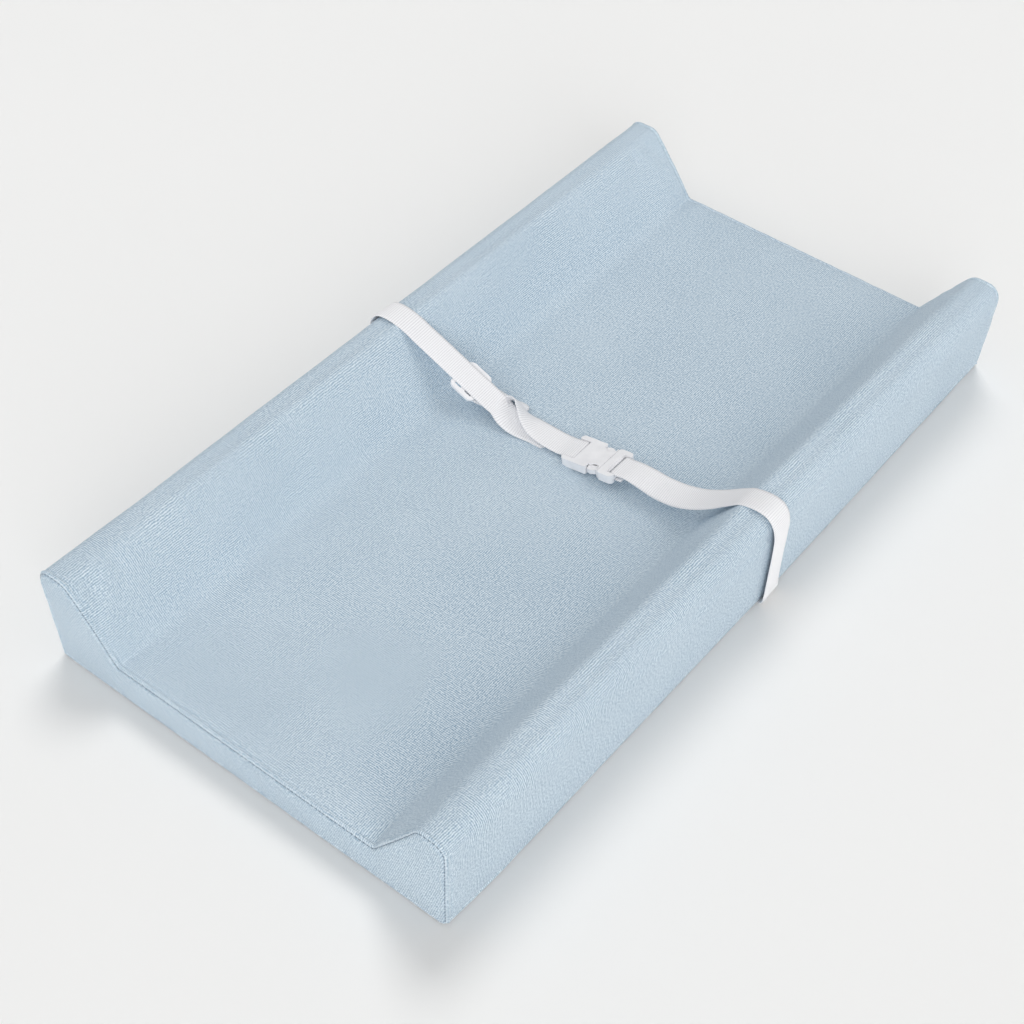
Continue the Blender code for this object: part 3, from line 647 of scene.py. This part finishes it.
# ---- stitches ------------------------------------------------------------------------------------
def beads(centres, tangents, normals, length, radius, dip, sides=6):
    """Vertices and faces of small closed capsules, each bent so that its two ends dip below its middle."""
    rings = 7
    profile = np.linspace(-1, 1, rings)
    thick = np.sqrt(np.maximum(1 - 0.92 * profile ** 4, 0.05))[:, None]
    angle = math.tau * np.arange(sides) / sides
    along_axis = np.broadcast_to((profile * length / 2)[:, None], (rings, sides))
    sideways = thick * radius * np.cos(angle)
    upwards = thick * radius * np.sin(angle) - dip * profile[:, None] ** 4
    across = np.cross(tangents, normals)
    verts = (centres[:, None, None] + tangents[:, None, None] * along_axis[None, :, :, None]
             + across[:, None, None] * sideways[None, :, :, None]
             + normals[:, None, None] * upwards[None, :, :, None]).reshape(-1, 3)
    first_bead = grid_quads(rings, sides, wrap=True).tolist()
    first_bead.append(list(range(sides)))
    first_bead.append(list(range((rings - 1) * sides, rings * sides))[::-1])
    faces = [[corner + bead * rings * sides for corner in face]
             for bead in range(len(centres)) for face in first_bead]
    return verts, faces


def stitch_row(line, out, radius, keep=None):
    """Stitches along a line of points, with out the way that the fabric faces at each of them.

    keep takes the stitches' places and says which of them are made.
    """
    total = along(line)[-1]
    centres = np.arange(STITCH_PITCH / 2, total, STITCH_PITCH) / total
    places = read_path(line, centres)
    ahead = read_path(line, np.clip(centres + STITCH_LENGTH / total / 2, 0, 1))
    behind = read_path(line, np.clip(centres - STITCH_LENGTH / total / 2, 0, 1))
    tangents = ahead - behind
    tangents /= np.linalg.norm(tangents, axis=1, keepdims=True)
    normals = read_path(out, centres)
    normals -= tangents * (normals * tangents).sum(axis=1, keepdims=True)
    normals /= np.linalg.norm(normals, axis=1, keepdims=True)
    places = places + normals * STITCH_LIFT
    if keep is not None:
        chosen = keep(places)
        places, tangents, normals = places[chosen], tangents[chosen], normals[chosen]
    return beads(places, tangents, normals, STITCH_LENGTH, radius, STITCH_DIP)


def gathered(name, parts, finish, body, follow=False):
    """One object out of several (vertices, faces) parts.

    With follow, it goes where the filled cover pushes it.
    """
    verts, faces, first = [], [], 0
    for part_verts, part_faces in parts:
        verts.append(part_verts)
        faces += [[corner + first for corner in face] for face in part_faces]
        first += len(part_verts)
    verts = np.concatenate(verts)
    made = made_object(name, out_of_square(verts) if follow else verts, faces)
    recalculated(made)
    return finished(made, finish, body)


def recalculated(made):
    """Turns every closed piece's faces outwards."""
    shape = bmesh.new()
    shape.from_mesh(made.data)
    bmesh.ops.recalc_face_normals(shape, faces=shape.faces)
    shape.to_mesh(made.data)
    shape.free()


def seam_stitches():
    """The stitches that show in the seam between each end panel and the main panel."""
    sunk = 0.75 * SEAM_ROLL
    outline = skin(END_VALLEY_ROUND, sunk)
    normals = path_normals(outline)
    for side, name in ((-1, "front"), (1, "back")):
        y = np.full(len(outline), side * (HALF_LENGTH - sunk))
        line = np.stack([outline[:, 0], y, outline[:, 1]], axis=1)
        out = np.stack([normals[:, 0], np.full(len(outline), float(side)), normals[:, 1]], axis=1)
        out /= np.linalg.norm(out, axis=1, keepdims=True)
        row = stitch_row(out_of_square(line), out, THREAD_RADIUS)
        gathered(f"seam_stitches_{name}", [row], THREAD, "pad")


# ---- belt ----------------------------------------------------------------------------------------
def webbing(name, controls, nodes, body, slant=0.0):
    """A length of ribbed webbing through (x, shift along Y, z, roll in degrees) points."""
    controls = [(x, BELT_Y + slant * x + shift, z, math.radians(roll)) for x, shift, z, roll in controls]
    path = smooth_path(controls)
    length = along(path[:, :3])
    count = int(length[-1] / (RIB_PITCH / 6))
    places = np.linspace(0, length[-1], count)
    path = np.stack([np.interp(places, length, path[:, axis]) for axis in range(4)], axis=1)
    centre, roll = path[:, :3], path[:, 3:]
    tangent = np.gradient(centre, axis=0)
    tangent /= np.linalg.norm(tangent, axis=1, keepdims=True)
    side = np.array((0.0, 1.0, 0.0)) - tangent * tangent[:, 1:2]
    side /= np.linalg.norm(side, axis=1, keepdims=True)
    up = np.cross(tangent, side)
    side, up = (side * np.cos(roll) + up * np.sin(roll), up * np.cos(roll) - side * np.sin(roll))

    rib = np.cos(math.tau * places / RIB_PITCH)[:, None]
    lanes = 11
    across = np.concatenate([np.linspace(-1, 1, lanes), np.linspace(1, -1, lanes)])
    face = np.concatenate([np.ones(lanes), -np.ones(lanes)])
    edge = np.abs(across)
    half_thick = BELT_THICKNESS / 2 * (1 - 0.45 * edge ** 10) * (0.92 + 0.16 * rib)
    half_wide = BELT_WIDTH / 2 + 0.12 * MM * rib * (edge > 0.95)
    rings = (centre[:, None] + side[:, None] * (across * half_wide)[..., None]
             + up[:, None] * (face * half_thick)[..., None])
    rings = out_of_square(rings)
    rows, columns = rings.shape[:2]
    quads = grid_quads(rows, columns, wrap=True)
    verts = rings.reshape(-1, 3)
    faces = quads.tolist()
    faces.append(list(range(columns)))
    faces.append(list(range((rows - 1) * columns, rows * columns))[::-1])
    made = made_object(name, verts, faces)
    uv = np.stack([np.broadcast_to(across * BELT_WIDTH / 2, (rows, columns)),
                   np.broadcast_to(places[:, None], (rows, columns))], axis=-1).reshape(-1, 2)
    loops = np.concatenate([np.array(face) for face in faces])
    layer = made.data.uv_layers.new(name="weave")
    layer.data.foreach_set("uv", uv[loops].astype(np.float32).ravel())
    recalculated(made)
    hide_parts(*nodes)
    return finished(made, WEBBING, body)


def wall_controls(side, slack, twist):
    """The belt from its sewn end under the pad, round the foot and up the outer wall to the crown.

    slack is how far the belt stands off the wall at most, and twist turns its near edge away from it, in
    degrees. The rows below are x, the shift along Y in thirds of the slack, z, and how much of the slack
    and of the twist is taken there.
    """
    path = [(0.150, -2, 0.0011, 0, 0), (0.175, -2, 0.0011, 0, 0), (0.1985, -2, 0.0011, 0, 0),
            (0.2034, -2.6, 0.0017, 0.5, 0.1), (0.2052, -3.4, 0.0056, 1.0, 0.4), (0.2056, -4, 0.015, 1.2, 0.8),
            (0.2067, -3, 0.040, 1.1, 1), (0.2083, -1, 0.070, 0.8, 0.9), (0.2085, 0, 0.082, 0.6, 0.7),
            (0.2062, 0, 0.0930, 0.4, 0.5), (0.2010, 0, 0.0990, 0.3, 0.5), (0.1940, 0, 0.1010, 0, 0.5),
            (0.1860, 0, 0.1004, 0, 0.5)]
    return [(side * (x + slack * loose), shift * slack / 3, z, side * twist * turn)
            for x, shift, z, loose, turn in path]


def belts():
    """Both belts, as (x, shift along Y, z, roll) points.

    The right one goes to the plug's bar and is folded back on itself. The left one goes round the
    socket's bar and back to the tri-glide.
    """
    near_bar = BAR_TO_BELT - 0.6 * MM
    right = wall_controls(1, 3 * MM, 6) + [
        (0.176, 0, 0.0974, 2), (0.166, 0, 0.0896, -1), (0.150, 0, 0.0762, -5), (0.131, 0, 0.0637, -9),
        (0.112, 0, 0.0562, -13), (0.094, 0, 0.0537, -12), (0.076, 0, 0.0548, -6),
        (*buckle(0.054, BAR_TO_BELT), 0), (*buckle(0.046, BAR_TO_BELT), 0), (*buckle(0.0400, BAR_TO_BELT), 0),
        (*buckle(0.0385, near_bar), 0), (*buckle(0.0377, 0.0006), 0)]
    belt = webbing("belt_right", right, ["belt_right_wall", "belt_right_free"], None)
    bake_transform(belt)

    fold = [(*buckle(0.0377, -0.0001), 0), (*buckle(0.0385, -near_bar), 0),
            (*buckle(0.0400, -BAR_TO_BELT), 0), (*buckle(0.045, -BAR_TO_BELT), 0),
            (*buckle(0.050, -BAR_TO_BELT), 0)]
    webbing("belt_right_fold_back", fold, ["belt_right_fold"], "buckle_plug")

    main = wall_controls(-1, 1 * MM, 4) + [
        (-0.176, 0, 0.0974, -2), (-0.160, 0, 0.0888, -1), (-0.135, 0, 0.0764, 0), (-0.110, 0, 0.0640, 0),
        (-0.097, 0, 0.0577, 0), (-0.088, 0, 0.0533, 0), (-0.0785, 0, 0.0488, 0),
        (-0.069, -2.6 * MM, 0.0449, 5), (-0.060, -3.2 * MM, 0.0420, 6), (-0.050, -2 * MM, 0.0396, 3),
        (-0.038, -0.5 * MM, 0.0382, 0),
        (*buckle(-0.022, -BAR_TO_BELT), 0), (*buckle(-0.0095, -BAR_TO_BELT), 0),
        (*buckle(-0.0040, -BAR_TO_BELT), 0), (*buckle(-0.0024, -near_bar), 0), (*buckle(-0.0016, -0.0002), 0)]
    webbing("belt_left", main, ["belt_left_wall", "belt_left_span"], "pad", BELT_LEFT_SLANT)

    back = [(*buckle(-0.0016, 0.0006), 0), (*buckle(-0.0024, near_bar), 0),
            (*buckle(-0.0040, BAR_TO_BELT), 0), (*buckle(-0.0095, BAR_TO_BELT), 0),
            (*buckle(-0.022, BAR_TO_BELT + 0.0002), 0),
            (-0.036, 1 * MM, 0.0424, 5), (-0.046, 3 * MM, 0.0442, 16), (-0.055, 6 * MM, 0.0465, 33),
            (-0.062, 9.5 * MM, 0.0484, 48), (-0.068, 13.5 * MM, 0.0489, 58), (-0.0745, 17 * MM, 0.0462, 46),
            (-0.080, 16 * MM, 0.0442, 30), (-0.085, 12.5 * MM, 0.0448, 18), (-0.092, 8 * MM, 0.0468, 9),
            (-0.100, 3 * MM, 0.0507, 3), (-0.1065, 0.5 * MM, 0.0545, 0), (-0.111, 0, 0.0570, 0),
            (-0.1135, 0, 0.0590, 0)]
    strap = webbing("belt_left_return_run", back, ["belt_left_return"], None, BELT_LEFT_SLANT)
    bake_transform(strap)


def buckle(x, z):
    """A point of the buckle's frame as the (x, shift, z) that webbing takes."""
    c, s = math.cos(BUCKLE_PITCH), math.sin(BUCKLE_PITCH)
    return BUCKLE_ORIGIN.x + c * x - s * z, 0, BUCKLE_ORIGIN.z + s * x + c * z


# ---- base, zip and foam --------------------------------------------------------------------------
def copy_of_node(name, node):
    """A copy of a CAD piece, to be worked on and to stand in for it."""
    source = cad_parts[node]
    made = bpy.data.objects.new(name, source.data.copy())
    bpy.context.scene.collection.objects.link(made)
    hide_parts(node)
    return made


def applied(made):
    """Makes the object's modifiers part of its mesh."""
    depsgraph = bpy.context.evaluated_depsgraph_get()
    mesh = bpy.data.meshes.new_from_object(made.evaluated_get(depsgraph))
    made.modifiers.clear()
    made.data = mesh
    return made


def flat_uv(made):
    """A UV map in metres, seen from above."""
    mesh = made.data
    layer = mesh.uv_layers.get("weave") or mesh.uv_layers.new(name="weave")
    for loop in mesh.loops:
        layer.data[loop.index].uv = mesh.vertices[loop.vertex_index].co.xy


def base():
    """The backing cloth: its underside stands on grip dots, and its hem and zip are sewn down.

    It is cut into bands, crosswise and beside the walls, so that it can follow the filled cover.
    """
    sheet = copy_of_node("cover_base", "cover_bottom_panel")
    crosswise = [((0, y, 0), (0, 1, 0)) for y in np.linspace(-0.385, 0.385, 36)]
    lengthwise = [((side * x, 0, 0), (1, 0, 0)) for side in (-1, 1) for x in np.linspace(0.148, 0.200, 6)]
    shape = bmesh.new()
    shape.from_mesh(sheet.data)
    for place, normal in crosswise + lengthwise:
        everything = shape.verts[:] + shape.edges[:] + shape.faces[:]
        bmesh.ops.bisect_plane(shape, geom=everything, plane_co=place, plane_no=normal)
    for vertex in shape.verts:
        vertex.co.z = max(vertex.co.z, DOT_HEIGHT)
        vertex.co = out_of_square(np.array(vertex.co))
    shape.to_mesh(sheet.data)
    shape.free()
    flat_uv(sheet)
    finished(sheet, BASE_CLOTH, "pad")

    inset = 5 * MM
    hem_x, hem_y = BASE_HALF_WIDTH - inset, HALF_LENGTH - inset
    corners = [(-hem_x, -hem_y), (hem_x, -hem_y), (hem_x, hem_y), (-hem_x, hem_y), (-hem_x, -hem_y)]
    hem = [underside_row(corner, after) for corner, after in zip(corners, corners[1:])]
    zip_x, zip_y = 12.2 * MM, 0.284
    zip_rows = [underside_row((side * zip_x, -zip_y), (side * zip_x, zip_y)) for side in (-1, 1)]
    gathered("base_stitches", hem + zip_rows, THREAD, "pad", follow=True)
    grip_dots()


def beside_notch(places, margin):
    """True where a place under the pad is over `margin` from the notches that the belt's sewn ends lie in."""
    x, y = places[:, 0], places[:, 1]
    clear = np.ones(len(places), bool)
    for node in ("belt_left_wall", "belt_right_wall"):
        low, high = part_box(node)
        inside_x = (x > low.x - margin) & (x < high.x + margin)
        clear &= ~(inside_x & (y > low.y - margin) & (y < high.y + margin))
    return clear


def underside_row(start, end, level=DOT_HEIGHT, skip_notches=True):
    """A row of stitches on the underside, from one (x, y) to another."""
    line = np.array([(*start, level), (*end, level)])
    out = np.array([(0, 0, -1.0), (0, 0, -1.0)])
    keep = (lambda places: beside_notch(places, 5 * MM)) if skip_notches else None
    return stitch_row(line, out, UNDERSIDE_THREAD_RADIUS, keep)


def grip_dots():
    """Rubber dots in staggered rows over the underside, clear of the zip and the belt."""
    reach_x, reach_y = 0.192, 0.384
    zip_x, zip_y = 17 * MM, 0.291
    spots = []
    for row, y in enumerate(np.arange(-reach_y, reach_y + 0.1 * MM, DOT_PITCH * math.sin(math.radians(60)))):
        for x in np.arange(-reach_x + (row % 2) * DOT_PITCH / 2, reach_x + 0.1 * MM, DOT_PITCH):
            if abs(x) > zip_x or abs(y) > zip_y:
                spots.append((x, y, 0.0))
    spots = np.array(spots)
    spots = spots[beside_notch(spots, 7 * MM)]
    angle = math.tau * np.arange(10) / 10
    dome = np.array([(radius * math.cos(a), radius * math.sin(a), height)
                     for radius, height in DOT_RINGS for a in angle]) * MM
    verts = (spots[:, None] + dome[None]).reshape(-1, 3)
    one = grid_quads(len(DOT_RINGS), len(angle), wrap=True).tolist()
    one.append(list(range(len(angle))))
    one.append(list(range(len(dome) - len(angle), len(dome)))[::-1])
    faces = [[corner + spot * len(dome) for corner in face] for spot in range(len(spots)) for face in one]
    gathered("base_grip_dots", [(verts, faces)], RUBBER, "pad", follow=True)


def belt_anchors():
    """The box of stitches with a cross in it that holds each end of the belt under the pad."""
    level = 0.5 * MM
    for side, name, shift in ((-1, "left", -0.165 * BELT_LEFT_SLANT), (1, "right", -2 * MM)):
        inner, outer = side * ANCHOR_INNER, side * ANCHOR_OUTER
        near, far = BELT_Y + shift - ANCHOR_HALF_WIDTH, BELT_Y + shift + ANCHOR_HALF_WIDTH
        lines = [((inner, near), (outer, near)), ((outer, near), (outer, far)), ((outer, far), (inner, far)),
                 ((inner, far), (inner, near)), ((inner, near), (outer, far)), ((inner, far), (outer, near))]
        rows = [underside_row(start, end, level, skip_notches=False) for start, end in lines]
        gathered(f"belt_anchor_stitches_{name}", rows, THREAD, "pad", follow=True)


def zip_chain():
    """The zip's teeth: two rows of coil, half a pitch apart, which mesh in the middle."""
    off_middle = 1.1 * MM
    taller = 1.5
    for side, name in ((-1, "left"), (1, "right")):
        low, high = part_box(f"zipper_chain_{name}")
        level = (low.z + high.z) / 2
        y = np.arange(low.y + TOOTH_PITCH * (0.5 + side * 0.25), high.y - TOOTH_PITCH / 3, TOOTH_PITCH)
        centres = np.stack([np.full(len(y), side * off_middle), y, np.full(len(y), level)], axis=1)
        tangents = np.tile((1.0, 0.0, 0.0), (len(y), 1))
        normals = np.tile((0.0, 0.0, -1.0), (len(y), 1))
        verts, faces = beads(centres, tangents, normals, TOOTH_LENGTH, TOOTH_RADIUS, 0.1 * MM, sides=8)
        verts[:, 2] = level + (verts[:, 2] - level) * taller
        made = gathered(f"zip_teeth_{name}", [(verts, faces)], ZIP_NYLON, "pad")
        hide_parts(f"zipper_chain_{name}")


def foam():
    """The three foam blocks, with edges as soft as cut foam has."""
    for name, node in (("foam_core_slab", "foam_base_slab"), ("foam_core_left", "foam_bolster_left"),
                       ("foam_core_right", "foam_bolster_right")):
        piece = copy_of_node(name, node)
        remesh = piece.modifiers.new("remesh", "REMESH")
        remesh.mode = "VOXEL"
        remesh.voxel_size = 5 * MM
        smooth = piece.modifiers.new("smooth", "SMOOTH")
        smooth.iterations = 3
        applied(piece)
        places = np.array([vertex.co[:] for vertex in piece.data.vertices])
        piece.data.vertices.foreach_set("co", out_of_square(places).ravel())
        piece.data.update()
        piece.data.shade_smooth()
        finished(piece, FOAM, "pad")


def carried_over():
    """Gives the CAD nodes that stay their real finish."""
    for node in ("buckle_female", "buckle_male_base", "buckle_prong_near", "buckle_prong_far",
                 "tri_glide_slider"):
        repaint(node, BUCKLE_PLASTIC)
    for node in ("zipper_slider", "zipper_pull", "zipper_stop_front", "zipper_stop_back"):
        repaint(node, METAL)
    for node in ("zipper_tape_left", "zipper_tape_right"):
        repaint(node, TAPE_CLOTH)


def repaint(node, finish):
    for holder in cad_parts[node].material_slots:
        holder.material = finish


# ---- studio --------------------------------------------------------------------------------------
def studio():
    """A paper floor under soft light. The two fills leave the floor out, and one sun lights it alone."""
    floor = made_object("floor", [(-8, -8, 0), (8, -8, 0), (8, 8, 0), (-8, 8, 0)], [(0, 1, 2, 3)])
    finish = Finish("floor_paper", 0.9)
    cloud = finish.noise(finish.place(), 3, 2)
    paper = finish.ramp(cloud, [(0, srgb(243, 243, 242)), (1, srgb(245, 245, 244))])
    floor.data.materials.append(finish.connect(Base_Color=paper))

    world = bpy.data.worlds.new("studio")
    world.use_nodes = True
    world.node_tree.nodes["Background"].inputs["Color"].default_value = (1.0, 1.0, 1.0, 1.0)
    world.node_tree.nodes["Background"].inputs["Strength"].default_value = 0.54
    bpy.context.scene.world = world
    soft_sun("key", 45, 22, 1.08, 40)
    fills = [soft_sun("fill_back", 135, 50, 0.60, 40), soft_sun("fill_front", 315, 50, 0.525, 40)]
    grounding = soft_sun("grounding", 214, 56, 1.08, 26)
    for lights, state in ((fills, "EXCLUDE"), ([grounding], "INCLUDE")):
        chosen = bpy.data.collections.new(f"floor_{state.lower()}")
        chosen.objects.link(floor)
        chosen.collection_objects[0].light_linking.link_state = state
        for light in lights:
            light.light_linking.receiver_collection = chosen


def soft_sun(name, azimuth, elevation, energy, spread_angle):
    """A large soft light, far away, spread_angle degrees wide."""
    lamp = bpy.data.lights.new(name, "SUN")
    lamp.energy = energy
    lamp.angle = math.radians(spread_angle)
    light = bpy.data.objects.new(name, lamp)
    bpy.context.scene.collection.objects.link(light)
    light.rotation_mode = "QUATERNION"
    light.rotation_quaternion = towards(azimuth, elevation).to_track_quat("Z", "Y")
    return light


def towards(azimuth, elevation):
    """The way out from the pad: azimuth 0 is to its front and 90 to its right, both angles in degrees."""
    azimuth, elevation = math.radians(azimuth), math.radians(elevation)
    return Vector((math.sin(azimuth) * math.cos(elevation), -math.cos(azimuth) * math.cos(elevation),
                   math.sin(elevation)))


def camera():
    roll = math.radians(1.16)
    target = Vector((-0.001, -0.060, 0.03))
    distance = 1.659
    back = towards(37.66, 46.52)
    right = Vector((0, 0, 1)).cross(back).normalized()
    up = back.cross(right)
    across = math.cos(roll) * right + math.sin(roll) * up
    upright = math.cos(roll) * up - math.sin(roll) * right
    lens = bpy.data.cameras.new("camera")
    lens.lens = 67.78
    lens.sensor_width = 36
    lens.clip_start = 0.01
    eye = bpy.data.objects.new("camera", lens)
    bpy.context.scene.collection.objects.link(eye)
    turn = Matrix((across, upright, back)).transposed()
    eye.matrix_world = Matrix.Translation(target + distance * back) @ turn.to_4x4()
    bpy.context.scene.camera = eye
    bpy.context.scene.view_settings.view_transform = "Standard"


camera()
studio()
cover_main()
cover_ends()
seam_stitches()
belts()
base()
belt_anchors()
zip_chain()
foam()
carried_over()
